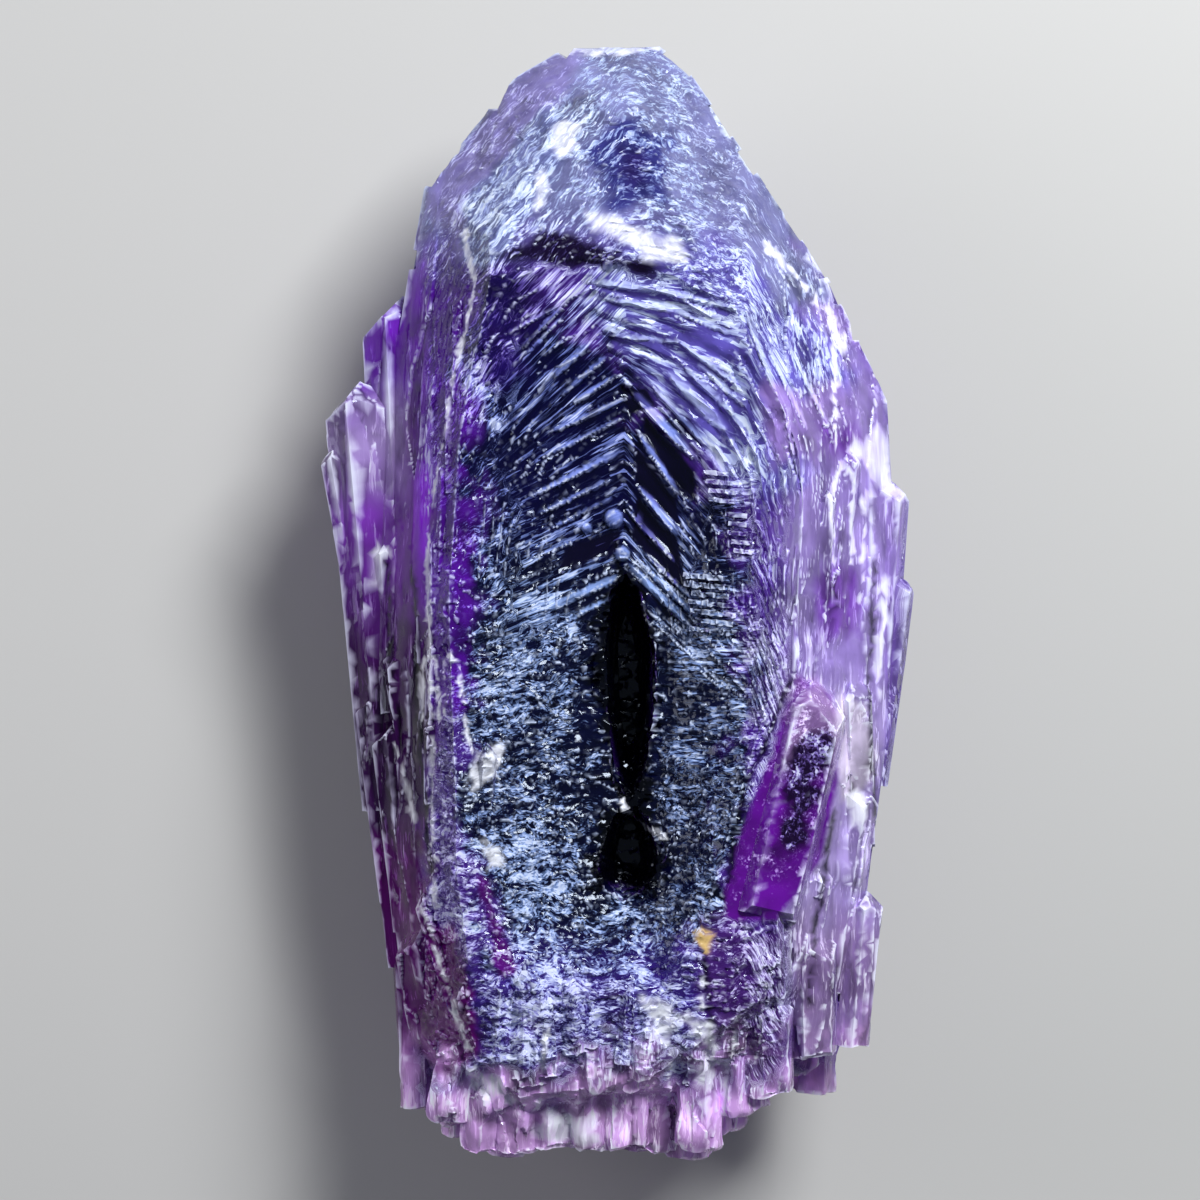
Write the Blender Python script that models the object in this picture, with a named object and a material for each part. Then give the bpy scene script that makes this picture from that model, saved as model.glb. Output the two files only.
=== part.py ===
"""Amethyst crystal group: one main crystal with a stepped, hollowed front face, and the smaller
crystals that grew with it on its sides, back and foot. All of it is a single solid.

It lies on its flat back face. +Y runs from the broken foot to the tip, +Z out of the stepped front
face, and +X to the right of someone who faces it with the tip up. The origin is on the rest plane,
under the middle of the whole group.
"""

import math
import random

import bmesh
import bpy
from mathutils import Matrix, Vector

MM = 0.001

# Main crystal
GIRDLE_Z = 15.4 * MM      # height of its widest outline
FRONT_Z = 24.4 * MM       # height of the front face
BEND_Y = 27.5 * MM        # above this the front face leans back towards the tip
TIP_LEAN = 13.0           # how far it leans there, in degrees
FOOT_BEND_Y = -29.0 * MM  # below this it leans down towards the foot
FOOT_LEAN = 11.0

# Side faces of the main crystal. Each has a bearing as seen from the front (0 is +X, 90 is +Y),
# its distance from the origin at the girdle, and how far its front and back halves lean inwards.
SIDE_FACES = (
    (91.4, 46.05, 42.0, 38.0),
    (51.6, 38.35, 44.0, 36.0),
    (33.8, 29.50, 43.0, 33.0),
    (24.9, 27.30, 45.0, 32.0),
    (3.5, 23.30, 42.0, 29.0),
    (-2.4, 22.80, 43.0, 29.0),
    (-7.0, 23.50, 43.0, 30.0),
    (-14.0, 26.10, 40.0, 31.0),
    (-39.3, 35.20, 38.0, 34.0),
    (-58.4, 39.90, 38.0, 34.0),
    (-82.5, 43.00, 32.0, 32.0),
    (-130.6, 40.20, 34.0, 34.0),
    (-150.8, 32.60, 34.0, 31.0),
    (-172.6, 21.70, 34.0, 28.0),
    (-178.6, 19.80, 35.0, 28.0),
    (176.0, 19.75, 35.0, 28.0),
    (170.1, 21.70, 38.0, 30.0),
    (140.5, 34.25, 42.0, 34.0),
    (121.4, 41.55, 43.0, 36.0),
)

# Stepped hollow in the front face. Its rim, middle and floor outlines run clockwise from the peak.
STEPS = 15
HOLLOW_DEPTH = 5.6 * MM
RISER_SHARE = 0.42        # share of a step's run that its sloping riser takes
STEP_JITTER = 0.18 * MM
RIM = (
    (-3.4, 28.4), (4.6, 26.4), (10.2, 23.6), (14.0, 17.0), (15.4, 9.0), (14.6, 1.0), (12.4, -7.0),
    (9.6, -16.0), (7.4, -24.0), (4.0, -31.6), (-4.6, -32.8), (-10.2, -29.6), (-12.6, -21.0),
    (-13.4, -9.0), (-13.8, 2.0), (-13.2, 12.0), (-11.8, 20.4), (-9.0, 25.8),
)
MIDDLE = (
    (0.5, 17.6), (3.4, 15.0), (6.6, 11.4), (9.0, 7.4), (9.8, 2.6), (9.6, -3.0), (8.6, -9.0),
    (6.6, -16.0), (4.9, -22.4), (2.4, -27.6), (-2.6, -28.2), (-6.4, -24.6), (-8.4, -17.0),
    (-9.2, -8.0), (-9.0, 0.6), (-8.2, 7.0), (-6.0, 12.6), (-3.0, 15.8),
)
FLOOR = (
    (0.5, 5.0), (1.5, 3.6), (2.7, 1.8), (3.4, -0.6), (3.6, -3.6), (3.6, -7.0), (3.4, -11.0),
    (3.0, -15.6), (2.6, -19.6), (1.6, -23.0), (0.0, -23.4), (-1.4, -20.6), (-2.0, -16.0),
    (-2.4, -11.0), (-2.6, -6.6), (-2.6, -2.4), (-1.8, 0.8), (-0.8, 3.0),
)

# Two deep pits in the floor of the hollow: middle, half width, half length, bottom height, turn.
PITS = (
    ((0.9, -6.6), 2.05, 9.2, 11.0, 1.5),
    ((0.9, -20.4), 2.3, 3.9, 13.5, -8.0),
)

# Growth bars on the right-hand slope of the hollow: the middle of each group's top bar, how many
# bars it has, their length, and how deep they sit as a share of the hollow's depth
BAR_GROUPS = (
    ((8.3, 10.6), 4, 2.4, 0.42),
    ((9.8, 7.2), 5, 2.0, 0.45),
    ((7.4, 2.2), 7, 4.0, 0.62),
)
BAR_PITCH = 0.74
BAR_SIZE = (0.36, 2.0)    # across and deep

# Crystals that stand out on the front and the sides. Each has its tip and its foot as seen from the
# front, its width, its depth over its width, how far tip and foot stand proud, and its roll.
SIDE_CRYSTALS = (
    ("left_shoulder", (-17.9, 25.6), (-16.4, -9.0), 5.4, 1.3, -0.1, -1.6, 8.0),
    ("left_twin", (-21.4, 18.4), (-18.4, -17.0), 4.7, 1.35, 1.0, -0.8, 10.0),
    ("left_knob", (-23.7, 12.8), (-21.6, 0.0), 1.9, 1.2, 0.4, -0.6, 25.0),
    ("left_chip", (-19.2, 5.2), (-18.6, -6.0), 2.6, 1.1, 0.9, -1.4, 14.0),
    ("left_low", (-18.3, -9.4), (-16.6, -27.0), 3.4, 1.3, 0.7, -1.2, 5.0),
    ("left_low_outer", (-20.0, -7.0), (-17.2, -30.0), 3.0, 1.4, 0.5, -1.2, 18.0),
    ("left_foot", (-15.8, -25.4), (-13.2, -42.4), 5.2, 1.2, 0.8, 0.3, 12.0),
    ("left_foot_slant", (-16.0, -23.6), (-11.2, -37.6), 2.2, 1.0, 1.3, 0.7, 30.0),
    ("left_foot_inner", (-12.4, -30.4), (-10.6, -43.6), 2.9, 1.0, 1.0, 0.6, 3.0),
    ("left_flat_chip", (-10.6, -11.2), (-10.9, -16.4), 3.0, 0.7, -0.3, -1.2, 12.0),
    ("right_shoulder", (20.2, 18.8), (19.6, 0.0), 4.8, 1.1, 0.1, -1.6, 20.0),
    ("right_slender", (18.9, 12.6), (18.0, -1.0), 2.3, 1.0, 0.9, -0.6, 6.0),
    ("right_slender_inner", (17.0, 9.4), (15.8, -6.0), 2.1, 1.0, 0.8, -0.6, 22.0),
    ("right_prism", (22.0, 10.6), (20.8, -10.0), 4.0, 1.2, 0.9, -1.0, 11.0),
    ("right_outer", (23.2, 2.4), (21.0, -15.0), 2.7, 1.3, 0.4, -1.0, 16.0),
    ("right_pink", (18.9, -5.8), (19.6, -20.0), 4.6, 1.0, 1.2, 0.2, 27.0),
    ("right_low", (19.2, -14.0), (16.6, -31.8), 4.7, 1.2, 0.7, 0.2, 4.0),
    ("right_low_inner", (16.2, -21.0), (14.2, -36.4), 3.6, 1.1, 0.8, 0.3, 20.0),
    ("right_foot", (11.8, -27.0), (10.8, -40.0), 3.4, 1.1, 1.1, 0.5, 5.0),
    ("daughter", (15.9, -5.4), (11.4, -25.2), 9.0, 0.9, 2.5, 1.7, 16.0),
)

# Small crystals in rows: on the left-hand edge of the hollow, round the foot, and on the sides
RIDGE_COUNT = 9
FOOT_COUNT = 33
FOOT_LENGTH = (6.0, 11.0)
FOOT_WIDTH = (3.0, 5.6)
FOOT_FRONT_COUNT = 20
FLANK_COUNT = 11
BACK_COUNT = 12
SMALLEST_Z = 1.4 * MM     # nothing but the back face itself comes nearer to the rest plane

# Ledges cut into the back round its flat face, and chips along the front edges
BACK_LEDGES = 3
LEDGE_STEP = 0.75 * MM
CHIP_COUNT = 13

QUARTZ_TIP = 38.2         # angle between a tip face of quartz and its length, in degrees
SEED = 12


def clear_scene():
    for obj in list(bpy.data.objects):
        bpy.data.objects.remove(obj)


def new_collection(name):
    collection = bpy.data.collections.new(name)
    bpy.context.scene.collection.children.link(collection)
    return collection


def finish(bm, name, collection):
    """Turns a bmesh into a named object of the collection, with its faces out."""
    bmesh.ops.recalc_face_normals(bm, faces=bm.faces)
    mesh = bpy.data.meshes.new(name)
    bm.to_mesh(mesh)
    bm.free()
    obj = bpy.data.objects.new(name, mesh)
    collection.objects.link(obj)
    return obj


def cut_face(bm, point, normal):
    """Cuts a convex body with a plane, drops what is outside and closes the cut with one face."""
    geometry = list(bm.verts) + list(bm.edges) + list(bm.faces)
    cut = bmesh.ops.bisect_plane(
        bm, geom=geometry, dist=1e-7, plane_co=point, plane_no=normal, clear_outer=True
    )
    rim = [part for part in cut["geom_cut"] if isinstance(part, bmesh.types.BMEdge)]
    if rim:
        bmesh.ops.contextual_create(bm, geom=rim)


def leaning(bearing, lean):
    """Unit vector of a side face: its bearing in plan, leaning up (or down) by an angle."""
    turn = math.radians(bearing)
    up = math.radians(lean)
    return Vector((math.cos(turn) * math.cos(up), math.sin(turn) * math.cos(up), math.sin(up)))


def main_faces():
    """Point and outward normal of every face of the main crystal."""
    faces = []
    for bearing, distance, front_lean, back_lean in SIDE_FACES:
        foot = leaning(bearing, 0.0) * distance * MM
        foot.z = GIRDLE_Z
        faces.append((foot, leaning(bearing, front_lean)))
        faces.append((foot, leaning(bearing, -back_lean)))
    faces.append((Vector((0.0, 0.0, FRONT_Z)), Vector((0.0, 0.0, 1.0))))
    faces.append((Vector((0.0, 0.0, 0.0)), Vector((0.0, 0.0, -1.0))))
    faces.append((Vector((0.0, BEND_Y, FRONT_Z)), leaning(97.0, 90.0 - TIP_LEAN)))
    faces.append((Vector((0.0, BEND_Y - 2.0 * MM, 0.0)), leaning(84.0, TIP_LEAN - 90.0)))
    faces.append((Vector((0.0, FOOT_BEND_Y, FRONT_Z)), leaning(-94.0, 90.0 - FOOT_LEAN)))
    return faces


def front_height(x, y):
    """Height of the main crystal's front surface over a point, before anything is cut into it."""
    heights = []
    for point, normal in main_faces():
        if normal.z > 0.01:
            run = normal.x * (x - point.x) + normal.y * (y - point.y)
            heights.append(point.z - run / normal.z)
    return min(heights)


def back_height(x, y):
    """Height of its back surface over a point."""
    heights = []
    for point, normal in main_faces():
        if normal.z < -0.01:
            run = normal.x * (x - point.x) + normal.y * (y - point.y)
            heights.append(point.z - run / normal.z)
    return max(heights)


def main_crystal(name, collection):
    bm = bmesh.new()
    bmesh.ops.create_cube(bm, size=200.0 * MM)
    for point, normal in main_faces():
        cut_face(bm, point, normal)
    return finish(bm, name, collection)


def quartz_prism(name, collection, tip, foot, width, depth, roll, skew=0.0, blunt=False):
    """A six-sided prism from foot to tip, ended by six tip faces, every other one smaller."""
    along = tip - foot
    length = along.length
    radius = width / 2.0
    bm = bmesh.new()
    bmesh.ops.create_cone(
        bm,
        cap_ends=True,
        segments=6,
        radius1=radius * 0.9,
        radius2=radius,
        depth=length * 1.1,
        matrix=Matrix.Translation((0.0, 0.0, length * 0.55)),
    )
    peak = Vector((skew * radius, 0.0, length))
    for turn in range(6):
        normal = leaning(turn * 60.0 + 30.0, QUARTZ_TIP)
        drop = 0.16 * radius if turn % 2 else 0.0
        cut_face(bm, peak + normal * drop, normal)
    if blunt:
        for turn in range(3):
            normal = leaning(turn * 120.0, -45.0)
            cut_face(bm, Vector((0.0, 0.0, 0.0)) + normal * radius * 0.45, normal)
    bmesh.ops.scale(bm, vec=(1.0, depth, 1.0), verts=bm.verts)
    spin = Matrix.Rotation(math.radians(roll), 4, "Z")
    aim = along.to_track_quat("Z", "X").to_matrix().to_4x4()
    bmesh.ops.transform(bm, matrix=Matrix.Translation(foot) @ aim @ spin, verts=bm.verts)
    return finish(bm, name, collection)


def set_on_front(place, width, proud):
    """Point in space for a place seen from the front, so that a crystal there stands out."""
    x = place[0] * MM
    y = place[1] * MM
    sunk = width * MM / 2.0
    height = max(front_height(x, y), GIRDLE_Z)
    return Vector((x, y, min(height, FRONT_Z) - sunk + proud * MM))


def side_crystals(collection):
    for name, tip, foot, width, depth, tip_proud, foot_proud, roll in SIDE_CRYSTALS:
        top = set_on_front(tip, width, tip_proud)
        low = set_on_front(foot, width, foot_proud)
        blunt = foot_proud > 0.0
        quartz_prism(name, collection, top, low, width * MM, depth, roll, 0.2, blunt)


def ridge_crystals(collection, draw):
    """Short blades end to end along the left-hand edge of the hollow."""
    for index in range(RIDGE_COUNT):
        share = index / (RIDGE_COUNT - 1)
        y = 25.0 - 54.0 * share
        x = -12.6 - 2.3 * math.sin(math.pi * min(share * 1.3, 1.0) * 0.62) + draw.uniform(-0.3, 0.3)
        length = draw.uniform(7.5, 11.0)
        width = draw.uniform(1.2, 1.9)
        tip = set_on_front((x, y + draw.uniform(-1.0, 1.0)), width, draw.uniform(0.3, 0.6))
        foot = set_on_front((x + draw.uniform(-0.5, 0.3), y - length), width, 0.1)
        name = f"ridge_blade_{index + 1}"
        quartz_prism(name, collection, tip, foot, width * MM, 0.9, draw.uniform(0.0, 60.0))


def foot_edge(x):
    """How far down the foot reaches at x, both in millimetres: level, and cut back at both corners."""
    if x > 7.0:
        return 0.82 * (x - 7.0) - 44.9
    if x < -11.5:
        return 1.25 * (-11.5 - x) - 45.8
    return -45.4


def foot_crystals(collection, draw):
    """Stubs in three rows at the foot, all of them nearly in line with the main crystal."""
    for index in range(FOOT_COUNT):
        row = index % 3
        x = -15.6 + 32.6 * (index + 0.5) / FOOT_COUNT + draw.uniform(-0.5, 0.5)
        low = foot_edge(x) + draw.uniform(-0.5, 0.9) + (0.0, 0.2, 1.6)[row]
        length = draw.uniform(*FOOT_LENGTH)
        width = draw.uniform(*FOOT_WIDTH)
        z = ((13.0, 17.4, 8.2)[row] + draw.uniform(-1.5, 1.5)) * MM
        foot = Vector((x * MM, low * MM, z))
        top = Vector(((x * 0.95 + draw.uniform(-0.6, 0.6)) * MM, (low + length) * MM, z + 1.5 * MM))
        name = f"foot_crystal_{index + 1}"
        roll = draw.uniform(0.0, 60.0)
        quartz_prism(name, collection, top, foot, width * MM, 1.1, roll, blunt=True)


def foot_front_crystals(collection, draw):
    """Stubs that show their long sides on the front, in two rows just above the foot."""
    for index in range(FOOT_FRONT_COUNT):
        row = index % 2
        x = -12.0 + 25.0 * (index + 0.5) / FOOT_FRONT_COUNT + draw.uniform(-0.7, 0.7)
        base = foot_edge(x) + (5.6, 8.4)[row] + draw.uniform(-1.6, 1.6)
        length = draw.uniform(3.4, 8.8)
        width = draw.uniform(1.6, 4.2)
        slant = draw.uniform(-0.16, 0.16) * length
        tip = set_on_front((x + slant, base + length), width, draw.uniform(0.4, 1.2))
        foot = set_on_front((x, base - 0.8), width, 0.9)
        name = f"foot_front_crystal_{index + 1}"
        roll = draw.uniform(0.0, 60.0)
        quartz_prism(name, collection, tip, foot, width * MM, 1.0, roll, blunt=True)


def flank_crystals(collection, draw):
    """Crystals down both sides at girdle height and behind it."""
    for side in (-1.0, 1.0):
        for index in range(FLANK_COUNT):
            share = (index + 0.5) / FLANK_COUNT
            y = 17.0 - 46.0 * share + draw.uniform(-1.5, 1.5)
            length = draw.uniform(8.0, 15.0)
            width = draw.uniform(2.4, 4.2)
            z = GIRDLE_Z + draw.uniform(-5.5, 1.0) * MM
            inset = 0.55 * abs(GIRDLE_Z - z) + width * MM * 0.4
            edge = (19.6 if side < 0.0 else 22.3) * MM - inset
            tip = Vector((side * edge, y * MM, z))
            foot = Vector((side * (edge - 1.2 * MM), (y - length) * MM, z - 0.3 * MM))
            name = f"{'left' if side < 0.0 else 'right'}_flank_crystal_{index + 1}"
            quartz_prism(name, collection, tip, foot, width * MM, 1.2, draw.uniform(0.0, 60.0))


def back_crystals(collection, draw):
    """Broader crystals that lie along the slopes on either side of the back face."""
    for index in range(BACK_COUNT):
        side = -1.0 if index % 2 else 1.0
        share = (index + 0.5) / BACK_COUNT
        y = 25.0 - 50.0 * share
        x = side * draw.uniform(14.5, 18.0)
        length = draw.uniform(12.0, 20.0)
        width = draw.uniform(3.2, 5.4) * MM
        surface = back_height(x * MM, y * MM)
        z = max(surface + width * 0.12, width * 0.62 + SMALLEST_Z)
        tip = Vector((x * MM * 0.98, y * MM, z))
        foot = Vector((x * MM * 0.93, (y - length) * MM, z + width * 0.3))
        name = f"back_crystal_{index + 1}"
        quartz_prism(name, collection, tip, foot, width, 1.0, draw.uniform(0.0, 60.0))


def stepping(corner):
    """How sharply the hollow steps at a corner of its outlines: 1 round the peak of the arch, and 0
    down the sides and at the foot, where it is a plain slope."""
    from_peak = min(corner, len(RIM) - corner)
    return 1.0 - min(max((from_peak - 2) / 2.5, 0.0), 1.0)


def blended(share):
    """Outline of the hollow at a share of its steps: rim at 0, middle at 0.5, floor at 1."""
    outline = []
    for rim, middle, floor in zip(RIM, MIDDLE, FLOOR):
        if share < 0.5:
            start, end, mix = rim, middle, share * 2.0
        else:
            start, end, mix = middle, floor, share * 2.0 - 1.0
        x = start[0] + (end[0] - start[0]) * mix
        y = start[1] + (end[1] - start[1]) * mix
        outline.append(Vector((x * MM, y * MM, 0.0)))
    return outline


def tread_height(share):
    return FRONT_Z - HOLLOW_DEPTH * share ** 0.92


def loft(name, collection, rings):
    """A closed body through rings of equally many points, capped at both ends."""
    bm = bmesh.new()
    made = [[bm.verts.new(point) for point in ring] for ring in rings]
    count = len(made[0])
    for lower, upper in zip(made, made[1:]):
        for index in range(count):
            after = (index + 1) % count
            bm.faces.new((lower[index], lower[after], upper[after], upper[index]))
    bm.faces.new(made[0])
    bm.faces.new(made[-1])
    return finish(bm, name, collection)


def hollow_cutter(collection, draw):
    """The stepped hollow as one loft: flat treads, joined by sloping risers."""
    sky = [point + Vector((0.0, 0.0, FRONT_Z + 2.5 * MM)) for point in blended(0.0)]
    rings = [sky]
    for step in range(STEPS):
        shares = (step / STEPS, (step + RISER_SHARE) / STEPS)
        jitter = [draw.uniform(-1.0, 1.0) * STEP_JITTER for _ in RIM]
        for end, share in enumerate(shares):
            ring = []
            for corner, point in enumerate(blended(share)):
                stepped = tread_height((step + end) / STEPS)
                sloping = tread_height(share)
                crisp = stepping(corner)
                height = crisp * stepped + (1.0 - crisp) * sloping
                shift = Vector((0.6, 1.0, 0.0)) * jitter[corner]
                ring.append(point + shift + Vector((0.0, 0.0, height)))
            rings.append(ring)
    return loft("hollow_cutter", collection, rings)


def pit_cutters(collection):
    for index, (middle, half_width, half_length, bottom, turn) in enumerate(PITS):
        rings = []
        spin = Matrix.Rotation(math.radians(turn), 3, "Z")
        levels = ((1.25, 23.2), (1.0, 18.9), (0.72, (bottom + 18.9) / 2.0), (0.4, bottom))
        for spread, height in levels:
            ring = []
            for corner in range(10):
                angle = math.radians(36.0 * corner + 90.0)
                swell = 1.0 + 0.16 * math.cos(3.0 * angle + index)
                x = half_width * spread * swell * math.cos(angle)
                y = half_length * (0.35 + 0.65 * spread) * math.sin(angle)
                place = spin @ Vector((x, y, 0.0))
                ring.append(
                    Vector(((place.x + middle[0]) * MM, (place.y + middle[1]) * MM, height * MM))
                )
            rings.append(ring)
        loft(f"pit_cutter_{index + 1}", collection, rings)


def bar_crystals(collection, draw):
    """Short level bars on the right-hand slope of the hollow."""
    for group, (top, count, long, depth) in enumerate(BAR_GROUPS):
        for index in range(count):
            x = top[0] + 0.16 * index + draw.uniform(-0.15, 0.15)
            y = top[1] - BAR_PITCH * index
            bm = bmesh.new()
            bmesh.ops.create_cube(bm, size=1.0)
            across, deep = BAR_SIZE
            size = Vector((long * draw.uniform(0.75, 1.1), across, deep)) * MM
            bmesh.ops.scale(bm, vec=size, verts=bm.verts)
            height = FRONT_Z - HOLLOW_DEPTH * depth - 0.42 * deep * MM
            turn = Matrix.Rotation(math.radians(-6.0), 4, "Z")
            lean = Matrix.Rotation(math.radians(-17.0), 4, "Y")
            place = Matrix.Translation((x * MM, y * MM, height)) @ turn @ lean
            bmesh.ops.transform(bm, matrix=place, verts=bm.verts)
            finish(bm, f"growth_bar_{group + 1}_{index + 1}", collection)


def ledge_cutters(collection):
    """Sheets taken off the back towards the tip and the foot, so that it steps up at both ends."""
    for index in range(BACK_LEDGES):
        depth = LEDGE_STEP * (index + 1)
        for end, start_y, pitch in ((1.0, 17.0, 3.6), (-1.0, -27.5, 3.2)):
            bm = bmesh.new()
            bmesh.ops.create_cube(bm, size=1.0)
            bmesh.ops.scale(bm, vec=(60.0 * MM, 40.0 * MM, 10.0 * MM), verts=bm.verts)
            skew = Matrix.Rotation(math.radians((14.0 - 9.0 * index) * end), 4, "Z")
            lean = Matrix.Rotation(math.radians(-1.6 * end), 4, "X")
            middle_y = (start_y + end * (20.0 + pitch * index)) * MM
            place = Matrix.Translation((0.0, middle_y, depth - 5.0 * MM)) @ skew @ lean
            bmesh.ops.transform(bm, matrix=place, verts=bm.verts)
            where = "tip" if end > 0.0 else "foot"
            finish(bm, f"{where}_ledge_cutter_{index + 1}", collection)


def girdle_point(bearing):
    """The point of the main crystal's widest outline that lies in a bearing from the origin."""
    turn = math.radians(bearing)
    reach = min(
        distance / math.cos(turn - math.radians(side))
        for side, distance, _, _ in SIDE_FACES
        if math.cos(turn - math.radians(side)) > 0.05
    )
    return Vector((reach * math.cos(turn), reach * math.sin(turn), 0.0))


def chip_cutters(collection, draw):
    """Shallow angular chips along the thin edge round the tip."""
    for index in range(CHIP_COUNT):
        bearing = 44.0 + 80.0 * (index + draw.uniform(0.2, 0.8)) / CHIP_COUNT
        size = draw.uniform(1.6, 3.4)
        bite = draw.uniform(0.3, 0.7)
        edge = girdle_point(bearing)
        place = edge + edge.normalized() * (size * 0.62 - bite)
        bm = bmesh.new()
        bmesh.ops.create_cube(bm, size=size * MM)
        spin = Matrix.Rotation(math.radians(bearing + 45.0 + draw.uniform(-22.0, 22.0)), 4, "Z")
        lean = Matrix.Rotation(draw.uniform(-0.6, 0.6), 4, "X")
        height = GIRDLE_Z + draw.uniform(-0.8, 1.0) * MM
        where = Matrix.Translation((place.x * MM, place.y * MM, height))
        bmesh.ops.transform(bm, matrix=where @ spin @ lean, verts=bm.verts)
        finish(bm, f"chip_cutter_{index + 1}", collection)


def add_boolean(obj, name, operation, collection):
    modifier = obj.modifiers.new(name, "BOOLEAN")
    modifier.operation = operation
    modifier.solver = "EXACT"
    modifier.operand_type = "COLLECTION"
    modifier.collection = collection


def amethyst_material():
    material = bpy.data.materials.new("amethyst")
    material.use_nodes = True
    shader = material.node_tree.nodes["Principled BSDF"]
    shader.inputs["Base Color"].default_value = (0.23, 0.10, 0.42, 1.0)
    shader.inputs["Roughness"].default_value = 0.18
    shader.inputs["IOR"].default_value = 1.544
    shader.inputs["Transmission Weight"].default_value = 0.6
    return material


def helper_collection(name):
    """A collection for shapes that are only cut from or joined to the crystal."""
    collection = new_collection(name)
    collection.hide_render = True
    return collection


def build():
    clear_scene()
    draw = random.Random(SEED)
    parts = new_collection("amethyst_crystal")
    hollow = helper_collection("hollow_cutters")
    grown = helper_collection("grown_crystals")
    losses = helper_collection("ledge_and_chip_cutters")

    crystal = main_crystal("amethyst_crystal", parts)
    crystal.data.materials.append(amethyst_material())
    hollow_cutter(hollow, draw)
    pit_cutters(hollow)
    side_crystals(grown)
    ridge_crystals(grown, draw)
    foot_crystals(grown, draw)
    foot_front_crystals(grown, draw)
    flank_crystals(grown, draw)
    back_crystals(grown, draw)
    bar_crystals(grown, draw)
    ledge_cutters(losses)
    chip_cutters(losses, draw)
    for collection in (hollow, grown, losses):
        for helper in collection.objects:
            helper.hide_render = True
            helper.display_type = "WIRE"

    add_boolean(crystal, "stepped_hollow", "DIFFERENCE", hollow)
    add_boolean(crystal, "ledges_and_chips", "DIFFERENCE", losses)
    add_boolean(crystal, "grown_together", "UNION", grown)


build()
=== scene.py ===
import math

import bmesh
import bpy
import numpy as np
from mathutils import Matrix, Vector


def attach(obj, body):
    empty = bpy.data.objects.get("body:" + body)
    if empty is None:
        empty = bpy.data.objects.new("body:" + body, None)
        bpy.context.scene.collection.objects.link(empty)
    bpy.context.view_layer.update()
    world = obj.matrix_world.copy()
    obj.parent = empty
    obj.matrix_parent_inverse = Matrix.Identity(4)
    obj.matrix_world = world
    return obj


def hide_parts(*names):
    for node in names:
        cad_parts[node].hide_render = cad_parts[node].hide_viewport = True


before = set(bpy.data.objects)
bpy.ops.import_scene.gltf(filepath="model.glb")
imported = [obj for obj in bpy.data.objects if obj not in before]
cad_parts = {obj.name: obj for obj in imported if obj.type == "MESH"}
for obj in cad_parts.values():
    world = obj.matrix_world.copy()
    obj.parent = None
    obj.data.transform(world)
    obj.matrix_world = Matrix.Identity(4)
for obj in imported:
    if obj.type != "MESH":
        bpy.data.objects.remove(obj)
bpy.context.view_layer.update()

# --- The crystal's body ---------------------------------------------------------------------
# One stout quartz crystal with the smaller ones that grew on its sides and foot, all of one stone.
# Its flat faces and thin edges are those of the solid, drawn again in facets fine enough to etch.
BODY_CELLS = 9      # halvings of its length: 0.36 or 0.18 mm a facet
WELD_REACH_MM = 0.002


def welded_copy(node, name):
    """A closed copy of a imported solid, as a new mesh object."""
    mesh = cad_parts[node].data.copy()
    mesh.name = name
    mesh.materials.clear()
    bm = bmesh.new()
    bm.from_mesh(mesh)
    bmesh.ops.remove_doubles(bm, verts=bm.verts, dist=WELD_REACH_MM * 0.001)
    bm.to_mesh(mesh)
    bm.free()
    copy = bpy.data.objects.new(name, mesh)
    bpy.context.scene.collection.objects.link(copy)
    return copy


def apply_modifiers(piece):
    """Replaces a piece's mesh by what its modifiers make of it."""
    graph = bpy.context.evaluated_depsgraph_get()
    made = bpy.data.meshes.new_from_object(piece.evaluated_get(graph))
    piece.modifiers.clear()
    old = piece.data
    piece.data = made
    bpy.data.meshes.remove(old)


def points_of(mesh):
    """Its vertices in millimetres, one row each."""
    flat = np.empty(len(mesh.vertices) * 3)
    mesh.vertices.foreach_get("co", flat)
    return flat.reshape(-1, 3) * 1000.0


def normals_of(mesh):
    """The way each vertex faces, one row each."""
    flat = np.empty(len(mesh.vertices) * 3)
    mesh.vertices.foreach_get("normal", flat)
    return flat.reshape(-1, 3)


stone = welded_copy("amethyst_crystal", "amethyst_crystal_body")
facets = stone.modifiers.new("fine_facets", "REMESH")
facets.mode = "SHARP"
facets.octree_depth = BODY_CELLS
facets.scale = 0.99
facets.sharpness = 1.0
apply_modifiers(stone)
place = points_of(stone.data)
outward = normals_of(stone.data)
plain = place.copy()


# --- The stepped hollow in the front face ---------------------------------------------------
# A skeletal face: the crystal grew faster at its rim than in its middle, so it goes down to the
# pits in arched steps. Every step has thin growth lips of its own, and they go on outside its rim.
STEPS = 15
LIP_RISE = 0.13
GROOVE_DEPTH = 0.10
OUTER_LINES_A_STEP = 2.2     # outside the rim, where the growth lines are finer
OUTER_LINE_RISE = 0.12
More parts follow.
